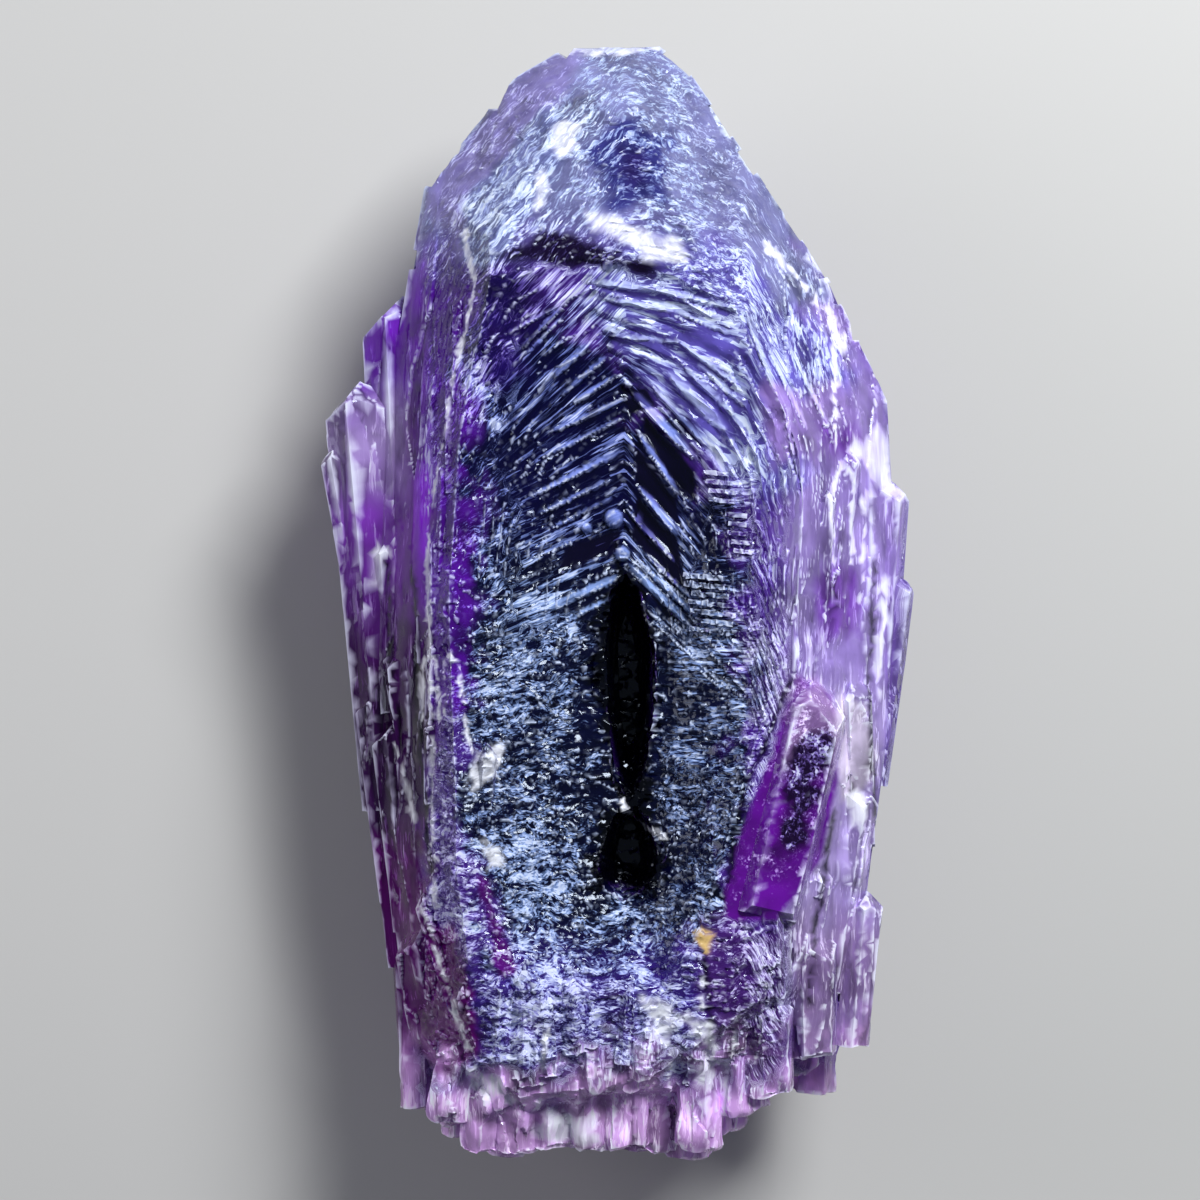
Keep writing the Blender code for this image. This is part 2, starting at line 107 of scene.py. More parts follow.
# Outlines of the hollow at its rim, half-way down and at its floor, seen from the front
HOLLOW_MIDDLE = (0.6, -8.0)
RIM = (
    (-3.4, 28.4), (4.6, 26.4), (10.2, 23.6), (14.0, 17.0), (15.4, 9.0), (14.6, 1.0), (12.4, -7.0),
    (9.6, -16.0), (7.4, -24.0), (4.0, -31.6), (-4.6, -32.8), (-10.2, -29.6), (-12.6, -21.0),
    (-13.4, -9.0), (-13.8, 2.0), (-13.2, 12.0), (-11.8, 20.4), (-9.0, 25.8),
)
MIDDLE = (
    (0.5, 17.6), (3.4, 15.0), (6.6, 11.4), (9.0, 7.4), (9.8, 2.6), (9.6, -3.0), (8.6, -9.0),
    (6.6, -16.0), (4.9, -22.4), (2.4, -27.6), (-2.6, -28.2), (-6.4, -24.6), (-8.4, -17.0),
    (-9.2, -8.0), (-9.0, 0.6), (-8.2, 7.0), (-6.0, 12.6), (-3.0, 15.8),
)
FLOOR = (
    (0.5, 5.0), (1.5, 3.6), (2.7, 1.8), (3.4, -0.6), (3.6, -3.6), (3.6, -7.0), (3.4, -11.0),
    (3.0, -15.6), (2.6, -19.6), (1.6, -23.0), (0.0, -23.4), (-1.4, -20.6), (-2.0, -16.0),
    (-2.4, -11.0), (-2.6, -6.6), (-2.6, -2.4), (-1.8, 0.8), (-0.8, 3.0),
)
# The growth lines meet in arrowheads on a spine down the hollow. Their slope on each side, at the
# height where they leave the spine, and where those on the right turn down along the crystal's side.
SPINE_X = 0.6
LINE_HEIGHTS = (-16.0, -5.0, 3.0, 12.0, 18.0, 21.0, 25.0)
LEFT_SLOPES = (0.0, 0.18, 0.42, 0.50, 0.70, 0.90, 1.00)
RIGHT_SLOPES = (0.0, -0.45, -1.10, -1.15, -1.05, -0.45, -0.12)
TURN_DOWN_X = 10.5
# Growth edges that stand up on both arms of the arches: start and end as seen from the front, half
# width and height. Each is a blade, steep towards the pit and sloping away from it.
GROWTH_BLADES = (
    ((4.1, 18.9), (8.8, 14.0), 0.62, 0.34), ((5.3, 19.4), (9.6, 15.2), 0.34, 0.26),
    ((6.4, 19.6), (10.4, 15.9), 0.26, 0.24), ((1.2, 17.3), (6.5, 11.7), 0.55, 0.50),
    ((2.6, 18.0), (7.4, 12.7), 0.30, 0.30), ((1.7, 13.9), (5.0, 9.0), 0.34, 0.36),
    ((1.7, 9.7), (5.1, 5.5), 0.40, 0.38), ((0.7, 7.8), (4.8, 3.4), 0.26, 0.30),
    ((0.7, 3.4), (5.9, -1.7), 0.46, 0.46), ((1.5, 3.8), (6.7, -1.3), 0.28, 0.34),
    ((2.2, 4.2), (7.0, -0.4), 0.22, 0.28), ((-3.8, 24.7), (-8.0, 20.5), 0.26, 0.40),
    ((-4.4, 23.3), (-7.4, 20.2), 0.16, 0.24), ((-1.3, 22.3), (-5.2, 18.3), 0.32, 0.34),
    ((-0.6, 20.4), (-4.6, 16.9), 0.26, 0.28), ((-0.2, 18.5), (-3.8, 16.3), 0.30, 0.30),
    ((1.1, 16.9), (-5.7, 13.9), 0.30, 0.34), ((0.4, 15.2), (-5.6, 12.2), 0.24, 0.26),
    ((0.5, 12.6), (-7.0, 8.8), 0.32, 0.34), ((0.3, 10.6), (-6.6, 7.3), 0.24, 0.28),
    ((0.2, 9.0), (-5.8, 6.0), 0.18, 0.22), ((0.4, 2.4), (-6.0, -0.6), 0.44, 0.36),
    ((0.2, 0.9), (-4.6, -1.6), 0.22, 0.24), ((-1.4, 26.0), (-9.8, 21.4), 0.18, 0.22),
    ((-2.9, 26.2), (3.2, 25.3), 0.34, 0.34), ((2.8, 25.5), (10.6, 23.6), 0.30, 0.30),
    ((10.3, 23.9), (12.9, 16.8), 0.28, 0.26), ((-2.0, 24.9), (5.0, 23.6), 0.24, 0.24),
    ((4.4, 23.8), (9.2, 21.8), 0.22, 0.24), ((-0.6, 21.8), (5.2, 21.2), 0.26, 0.26),
    ((4.8, 21.4), (9.9, 17.5), 0.22, 0.24), ((11.6, 22.2), (15.4, 14.0), 0.24, 0.22),
    ((13.2, 22.4), (17.2, 14.6), 0.26, 0.20),
)
# Smooth facets that the etching left alone, which show the depth of the stone; their near black tint
# is painted shade, for they face away from the light
FACET_SINK = 0.25
DARK_FACETS = (
    ((2.2, 15.7), (6.3, 11.0), (6.5, 8.0), (5.2, 9.2), (2.0, 13.9)),
    ((1.4, 13.2), (4.7, 8.9), (5.4, 5.8), (1.5, 9.9)),
    ((1.6, 8.9), (5.0, 5.2), (5.6, 1.4), (4.2, 1.6), (1.2, 5.6)),
    ((0.2, 17.8), (2.4, 17.6), (3.4, 16.0), (1.0, 15.4)),
    ((-4.8, 2.6), (-0.2, 4.3), (0.3, 6.2), (-4.2, 4.7)),
)
# Small round knobs that grew on the steps: middle and radius
KNOBS = (((-0.3, 7.0), 0.80), ((-2.5, 6.2), 0.45), ((0.4, 4.1), 0.62), ((-0.8, 27.3), 0.45))


def smooth(low, high, value):
    """0 below low, 1 above high and a soft ramp between them."""
    share = np.clip((value - low) / (high - low), 0.0, 1.0)
    return share * share * (3.0 - 2.0 * share)


def hashed(x, y, z, seed):
    """The same scattered number from -1 to 1 for the same whole-number place."""
    mixed = x * 374761393 + y * 668265263 + z * 1442695041 + seed * 974634077
    mixed = (mixed ^ (mixed >> 13)) * 1274126177 & 0xFFFFFFFF
    mixed = (mixed ^ (mixed >> 16)) * 2246822519 & 0xFFFFFFFF
    return (mixed ^ (mixed >> 15)) / 2147483647.5 - 1.0


def lumps(points, size, seed):
    """Soft noise from -1 to 1 whose lumps have a size in millimetres, one for each axis."""
    scaled = points / np.asarray(size)
    cell = np.floor(scaled).astype(np.int64)
    part = scaled - cell
    part = part * part * part * (part * (part * 6.0 - 15.0) + 10.0)
    total = np.zeros(len(points))
    for corner in range(8):
        dx, dy, dz = corner & 1, corner >> 1 & 1, corner >> 2
        weight = (
            (part[:, 0] if dx else 1.0 - part[:, 0])
            * (part[:, 1] if dy else 1.0 - part[:, 1])
            * (part[:, 2] if dz else 1.0 - part[:, 2])
        )
        total += weight * hashed(cell[:, 0] + dx, cell[:, 1] + dy, cell[:, 2] + dz, seed)
    return total


def outline_radii(depth, bearings):
    """How far from its middle the hollow's outline lies in each bearing, at a depth from 0 to 1."""
    if depth < 0.5:
        first, last, mix = np.array(RIM), np.array(MIDDLE), depth * 2.0
    else:
        first, last, mix = np.array(MIDDLE), np.array(FLOOR), depth * 2.0 - 1.0
    corners = first + (last - first) * mix - np.array(HOLLOW_MIDDLE)
    share = np.linspace(0.0, 1.0, 9)[:-1, None]
    sides = [start + (end - start) * share for start, end in zip(corners, np.roll(corners, -1, 0))]
    line = np.concatenate(sides)
    turn = np.arctan2(line[:, 1], line[:, 0])
    order = np.argsort(turn)
    return np.interp(bearings, turn[order], np.hypot(line[:, 0], line[:, 1])[order], period=math.tau)


def steps_down(points):
    """Which step of the hollow a point is over, seen from the front: below 0 outside its rim."""
    bearings = np.linspace(-math.pi, math.pi, 721)
    depths = np.linspace(-0.6, 1.0, 41)
    table = np.array([outline_radii(depth, bearings) for depth in depths])
    away = points[:, :2] - np.array(HOLLOW_MIDDLE)
    reach = np.hypot(away[:, 0], away[:, 1])
    slot = (np.arctan2(away[:, 1], away[:, 0]) + math.pi) / math.tau * 720.0
    low = np.clip(slot.astype(int), 0, 719)
    mix = slot - low
    found = np.full(len(points), depths[0])
    outer = table[0, low] * (1.0 - mix) + table[0, low + 1] * mix
    for index in range(1, len(depths)):
        inner = table[index, low] * (1.0 - mix) + table[index, low + 1] * mix
        inside = reach < outer
        share = np.clip((outer - reach) / np.maximum(outer - inner, 1e-6), 0.0, 1.0)
        found = np.where(inside, depths[index - 1] + share * (depths[index] - depths[index - 1]), found)
        outer = inner
    return found * STEPS


def within(points, corners):
    """How far inside a convex outline each point lies, seen from the front: below 0 outside it."""
    middle = np.mean(corners, axis=0)
    inside = np.full(len(points), 1e9)
    for start, end in zip(corners, corners[1:] + corners[:1]):
        run = np.subtract(end, start)
        across = np.array((-run[1], run[0])) / math.hypot(*run)
        across = across if across @ (middle - start) > 0.0 else -across
        inside = np.minimum(inside, (points[:, :2] - start) @ across)
    return inside


def within_any(points, outlines):
    """The same for the outline that each point lies deepest in."""
    return np.maximum.reduce([within(points, corners) for corners in outlines])


def blades(points):
    """Height that the growth blades add, 1 on their sloping faces, which get a painted highlight, and 1
    below them, where shade is painted.
    """
    height = np.zeros(len(points))
    face = np.zeros(len(points))
    shade = np.zeros(len(points))
    for start, end, half_width, rise in GROWTH_BLADES:
        run = np.subtract(end, start)
        long = math.hypot(*run)
        outward_side = np.array((-run[1], run[0])) / long
        outward_side = outward_side if outward_side[1] > 0.0 else -outward_side
        away = points[:, :2] - start
        along = away @ run / long**2
        lens = np.sqrt(np.clip(1.0 - np.abs(2.0 * along - 1.0) ** 3, 0.0, 1.0))
        across = away @ outward_side / np.maximum(half_width * lens, 1e-3)
        profile = smooth(-1.0, -0.55, across) * np.clip((1.0 - across) / 1.55, 0.0, 1.0)
        height = np.maximum(height, rise * profile * lens)
        face = np.maximum(face, smooth(-0.75, -0.5, across) * (1.0 - smooth(0.55, 0.9, across)) * lens)
        shade = np.maximum(shade, smooth(-2.8, -1.8, across) * (1.0 - smooth(-1.1, -0.8, across)) * lens)
    return height, face, shade


def growth_lines(points):
    """Where each point lies along its growth line from the spine, and where that line leaves it."""
    along = points[:, 0] - SPINE_X
    turned = 1.6 * np.maximum(points[:, 0] - TURN_DOWN_X, 0.0)
    low = np.full(len(points), -70.0)
    high = np.full(len(points), 90.0)
    for _ in range(16):
        guess = (low + high) / 2.0
        slope = np.where(
            along > 0.0,
            np.interp(guess, LINE_HEIGHTS, RIGHT_SLOPES),
            np.interp(guess, LINE_HEIGHTS, LEFT_SLOPES),
        )
        above_line = points[:, 1] > guess + along * slope - turned
        low = np.where(above_line, guess, low)
        high = np.where(above_line, high, guess)
    return along, (low + high) / 2.0


step = steps_down(place)
along, leaves_spine = growth_lines(place)
# 1 on the front face and in its hollow, 0 on the stone's sides
facing_front = smooth(0.25, 0.7, outward[:, 2]) * smooth(15.4, 18.0, place[:, 2])
# the lips show on the arches above the pits
bearing = np.degrees(np.arctan2(place[:, 1] - HOLLOW_MIDDLE[1], place[:, 0] - HOLLOW_MIDDLE[0]))
arch = smooth(14.0, 40.0, bearing) * (1.0 - smooth(125.0, 150.0, bearing))
arch *= smooth(-5.0, 0.5, place[:, 1])

wander = lumps(place, (3.2, 3.2, 3.2), 3)
lip_at = np.mod(step + 0.16 * wander, 1.0)
lip = smooth(0.80, 0.92, lip_at) * (1.0 - smooth(0.96, 1.0, lip_at))
groove = smooth(0.55, 0.62, lip_at) * (1.0 - smooth(0.68, 0.74, lip_at))
broken = smooth(-0.35, 0.25, lumps(place, (2.6, 1.4, 2.0), 7))
inside = smooth(-0.1, 0.3, step)
lips = (LIP_RISE * lip - GROOVE_DEPTH * groove) * broken * arch * inside

# outside the rim the growth lines run on towards the tip
line_at = np.mod(step * OUTER_LINES_A_STEP + 0.35 * wander, 1.0)
outer_line = smooth(0.45, 0.8, line_at) * (1.0 - smooth(0.86, 1.0, line_at))
outer = (1.0 - inside) * smooth(-8.5, -4.0, step) * arch
outer_lines = OUTER_LINE_RISE * outer_line * outer * broken

dark_facet = smooth(-0.1, 0.25, within_any(place, DARK_FACETS))
blades_rise, _, _ = blades(place)
knobs_rise = np.zeros(len(place))
for middle, radius in KNOBS:
    away = np.hypot(place[:, 0] - middle[0], place[:, 1] - middle[1])
    knobs_rise = np.maximum(knobs_rise, np.sqrt(np.maximum(radius**2 - away**2, 0.0)))

front_rise = (lips + outer_lines) * (1.0 - dark_facet) - FACET_SINK * dark_facet
front_rise += blades_rise + knobs_rise
place[:, 2] += front_rise * facing_front


# --- Etching ---------------------------------------------------------------------------------
# Natural acids ate at the faces after the crystal had grown, and left thousands of small tilted
# facets. They lie along the arches above, and across the crystal low on the front.
CHIP_SIZE = np.array((1.7, 0.75, 0.9))      # low on the front
CRUMB_SIZE = np.array((0.85, 0.42, 0.5))
SPLINTER_SIZE = np.array((3.4, 0.5, 1.6))   # along the growth lines, across them and deep
PRISM_SIZE = np.array((1.5, 14.0, 1.9))     # the slender facets that run up the sides and the foot
ETCH_DEPTH = 0.34
PRISM_SHARE = 1.3                           # how deep each kind goes, against the depth of etching
FACET_SHARE = 0.62
CRUMB_SHARE = 0.30
FRONT_SWELL = 0.24                          # soft lumps low on the front, and on the foot
FOOT_SWELL = 0.45
BODY_TRIANGLES = 194000                     # what the etched facets are reduced to
SCRAP_FACES = 60                            # a loose bit with fewer faces than this is dropped
SHARP_DEGREES = 38.0                        # an edge that bends more than this stays crisp


def broken_facets(spots, seed):
    """Flat facets, one for each scattered cell a unit across: their height and a tone of their own."""
    cell = np.floor(spots).astype(np.int64)
    nearest = np.full(len(spots), 9.0)
    height = np.zeros(len(spots))
    tone = np.zeros(len(spots))
    for near_by in range(27):
        near = cell + (near_by % 3 - 1, near_by // 3 % 3 - 1, near_by // 9 - 1)
        x, y, z = near.T
        scatter = np.stack([hashed(x, y, z, seed + axis) for axis in range(3)], axis=1)
        away = spots - near - 0.5 - 0.42 * scatter
        reach = (away**2).sum(1)
        own_tone = hashed(x, y, z, seed + 5)
        tilt = away[:, 0] * hashed(x, y, z, seed + 3) + 1.3 * away[:, 1] * hashed(x, y, z, seed + 4)
        closer = reach < nearest
        height = np.where(closer, 0.5 * own_tone + 0.8 * tilt, height)
        tone = np.where(closer, own_tone, tone)
        nearest = np.where(closer, reach, nearest)
    return height, tone


def etch_relief(points, line_points, lined, upright):
    """Depth of the etching, about -1 to 1: chips and crumbs, splinters on the arches, tall prisms."""
    warp = np.stack([lumps(points, (2.6, 2.0, 2.4), 20 + axis) for axis in range(3)], axis=1)
    warped = points + warp * np.array((0.7, 0.4, 0.5))
    chips, _ = broken_facets(warped / CHIP_SIZE, 31)
    splinters, _ = broken_facets((line_points + 0.1 * warp) / SPLINTER_SIZE, 61)
    prisms, _ = broken_facets(points / PRISM_SIZE, 91)
    crumbs, _ = broken_facets(warped / CRUMB_SIZE, 41)
    relief = (1.0 - lined) * chips + lined * splinters
    relief += upright * (PRISM_SHARE * prisms - relief)
    crumbled = (1.0 - 0.6 * lined) * (1.0 - 0.8 * upright)
    return FACET_SHARE * relief + CRUMB_SHARE * crumbled * crumbs


def drop_scraps(mesh):
    """Deletes the scraps of surface, a few faces each, that come loose when the facets are reduced."""
    bm = bmesh.new()
    bm.from_mesh(mesh)
    seen = set()
    scraps = []
    for first in bm.faces:
        group = [] if first in seen else [first]
        seen.add(first)
        for face in group:
            for edge in face.edges:
                joined = edge.link_faces if len(edge.link_faces) == 2 else ()
                fresh = [near for near in joined if near not in seen]
                seen.update(fresh)
                group += fresh
        if len(group) < SCRAP_FACES:
            scraps += group
    bmesh.ops.delete(bm, geom=scraps, context="FACES")
    bm.to_mesh(mesh)
    bm.free()


# The short stout crystal low on the right of the front, and the two pits, as seen from the front
DAUGHTER = (
    (14.4, -5.6), (17.4, -7.4), (18.0, -14.6), (16.6, -21.0), (12.8, -25.4), (8.7, -25.4), (8.7, -22.8),
)
PITS = (
    ((0.2, 3.2), (2.0, 1.8), (3.2, -3.0), (3.0, -11.8), (2.1, -16.6), (0.4, -16.6), (-1.9, -6.0),
     (-1.7, -1.2)),
    ((-1.4, -17.0), (1.8, -16.2), (4.1, -20.8), (3.3, -24.0), (-2.0, -23.2)),
)

# how deep the etching goes: less on the whole faces, and none where the stone lies on the table
low_front = 1.0 - smooth(-4.0, 8.0, place[:, 1])
on_daughter = smooth(-0.4, 0.4, within(place, DAUGHTER)) * facing_front
left_of_ridge = smooth(0.3, 1.2, -13.0 - place[:, 0] - 2.0 * smooth(22.0, 8.0, place[:, 1]))
etched = 0.5 + 0.5 * low_front
etched *= 1.0 - 0.92 * dark_facet
etched *= 1.0 - 0.85 * on_daughter
etched *= 1.0 - 0.8 * left_of_ridge * smooth(-24.0, -18.0, place[:, 1])
off_floor = smooth(0.15, 1.2, plain[:, 2])
# which way it lies: by the growth lines on the arches, and upright on the sides and the foot
by_line = np.stack([along, leaves_spine, place[:, 2]], axis=1)
in_arch = smooth(-2.0, 2.0, leaves_spine + 2.0 * wander) * smooth(-11.0, -8.5, place[:, 0])
in_arch *= smooth(-11.0, -8.5, along + 1.5 * wander) * smooth(-5.0, -1.0, step)
upright = np.maximum(smooth(12.0, 14.0, place[:, 0] + 0.8 * wander), left_of_ridge)
upright = np.maximum(upright, smooth(0.3, 0.1, outward[:, 2]))
upright = np.maximum(upright, smooth(-37.0, -39.0, place[:, 1] + 2.0 * wander)) * (1.0 - on_daughter)
by_pit = smooth(-1.5, 0.0, within_any(place, PITS)) * smooth(5.0, 8.0, place[:, 2])
amount = ETCH_DEPTH * np.maximum(etched, 0.8 * upright) * (0.4 + 0.6 * facing_front) * off_floor
amount += 0.8 * ETCH_DEPTH * by_pit
swell = FRONT_SWELL * low_front * facing_front * (1.0 - on_daughter) * lumps(place, (2.6, 2.0, 2.6), 24)
swell += FOOT_SWELL * smooth(-34.0, -39.0, place[:, 1]) * off_floor * lumps(place, (1.7, 2.4, 1.7), 23)
place += outward * (amount * (etch_relief(place, by_line, in_arch, upright) - 0.15) + swell)[:, None]
place[:, 2] = np.maximum(place[:, 2], 0.0)
stone.data.vertices.foreach_set("co", (place * 0.001).ravel())
stone.data.update()

fewer = stone.modifiers.new("fewer_facets", "DECIMATE")
stone.data.calc_loop_triangles()
fewer.ratio = min(1.0, BODY_TRIANGLES / len(stone.data.loop_triangles))
apply_modifiers(stone)
drop_scraps(stone.data)
stone.data.set_sharp_from_angle(angle=math.radians(SHARP_DEGREES))
for polygon in stone.data.polygons:
    polygon.use_smooth = True


# --- The stone's colour, zone by zone ---------------------------------------------------------
# Amethyst: quartz made purple by a trace of iron, unevenly, so that each zone has a tint of its
# own. Where it is etched or chipped it scatters light, and shows a paler frost over that tint; that
# frost also carries painted highlights, the glints off the etched facets.
place = points_of(stone.data)
outward = normals_of(stone.data)
step = steps_down(place)
front = smooth(-0.1, 0.4, outward[:, 2]) * smooth(14.0, 16.5, place[:, 2])
# what makes the edges of a zone ragged, and the finer tearing along a chipped edge
ragged = 0.8 * lumps(place, (2.4, 2.4, 2.4), 51) + 0.5 * lumps(place, (0.9, 0.9, 0.9), 52)
torn = 0.7 * lumps(place, (0.8, 0.8, 0.8), 53) + 0.6 * lumps(place, (0.4, 0.4, 0.4), 54)


def crests(mesh, points, normals):
    """How far each vertex stands out of its neighbours, against the length of its edges."""
    ends = np.empty(len(mesh.edges) * 2, np.int64)
    mesh.edges.foreach_get("vertices", ends)
    ends = ends.reshape(-1, 2)
    span = points[ends[:, 1]] - points[ends[:, 0]]
    length = np.linalg.norm(span, axis=1)
    rise = np.zeros(len(points))
    total = np.zeros(len(points))
    first = -(span * normals[ends[:, 0]]).sum(1) / np.maximum(length, 1e-6)
    last = (span * normals[ends[:, 1]]).sum(1) / np.maximum(length, 1e-6)
    np.add.at(rise, ends[:, 0], first)
    np.add.at(rise, ends[:, 1], last)
    np.add.at(total, ends[:, 0], 1.0)
    np.add.at(total, ends[:, 1], 1.0)
    return rise / np.maximum(total, 1.0)


def linear(code):
    """An sRGB hex colour as linear values with an alpha of 1."""
    parts = [int(code[at : at + 2], 16) / 255.0 for at in (1, 3, 5)]
    flat = [v / 12.92 if v <= 0.04045 else ((v + 0.055) / 1.055) ** 2.4 for v in parts]
    return (*flat, 1.0)


def from_line(points, line):
    """How far each point lies from a bent line, both seen from the front."""
    nearest = np.full(len(points), 1e9)
    for start, end in zip(line, line[1:]):
        run = np.subtract(end, start)
        away = points[:, :2] - start
        share = np.clip(away @ run / (run @ run), 0.0, 1.0)
        nearest = np.minimum(nearest, np.hypot(*(away - share[:, None] * run).T))
    return nearest


def zone(corners, soft, rough=1.0):
    """1 inside a convex outline seen from the front, with a soft and ragged edge."""
    return smooth(-soft, soft, within(place, corners) + rough * ragged) * front


def mark(name, values):
    """Stores a number, a vector or a colour for every vertex, for the material to read."""
    kinds = {1: ("FLOAT", "value"), 3: ("FLOAT_VECTOR", "vector"), 4: ("FLOAT_COLOR", "color")}
    kind, key = kinds[values.size // len(values)]
    store = stone.data.attributes.new(name, kind, "POINT")
    store.data.foreach_set(key, values.astype(np.float32).ravel())


# The deep violet core around the pits in two halves, the bluer zone above it on the right, and the
# magenta one low on the left
core_left = (
    (-11.2, 22.6), (-5.5, 25.0), (0.6, 19.4), (4.0, 10.0), (5.0, -30.0), (-8.0, -31.0),
    (-11.4, -24.0), (-12.0, -6.0), (-11.6, 10.0),
)
core_right = (
    (0.6, 18.4), (6.6, 11.6), (9.4, 3.7), (10.2, -8.0), (8.4, -24.0), (4.2, -30.0), (0.0, -30.0),
    (0.0, 10.0),
)
upper_right = (
    (-2.6, 27.2), (3.0, 31.0), (12.0, 29.0), (19.4, 19.0), (17.6, 12.0), (12.0, 8.6), (7.2, 11.4),
    (1.4, 18.0), (-1.8, 22.4),
)
low_left = ((-17.6, -25.0), (-13.2, -26.0), (-11.4, -36.0), (-14.0, -39.0), (-17.6, -36.0))
core = np.maximum(zone(core_left, 1.4, 2.4), zone(core_right, 1.4, 2.4))
above = place[:, 1] + 1.4 * ragged
right = smooth(12.0, 15.0, place[:, 0] + 0.6 * ragged) * front
left = 1.0 - smooth(-15.6, -13.4, place[:, 0] + 0.05 * np.abs(place[:, 1]) + 0.9 * ragged)
near_pit = within_any(place, PITS)
# painted shade: the pits and their deep floor are tinted near black
pit = smooth(-0.2, 0.2, near_pit + 0.5 * ragged + 1.0 * torn)
pit = np.maximum(pit * front, smooth(0.0, 0.6, near_pit) * smooth(10.0, 10.6, place[:, 2]))
# painted shade on the smooth facets that face away from the light
dark = smooth(-0.1, 0.2, within_any(place, DARK_FACETS) + 0.15 * ragged) * front
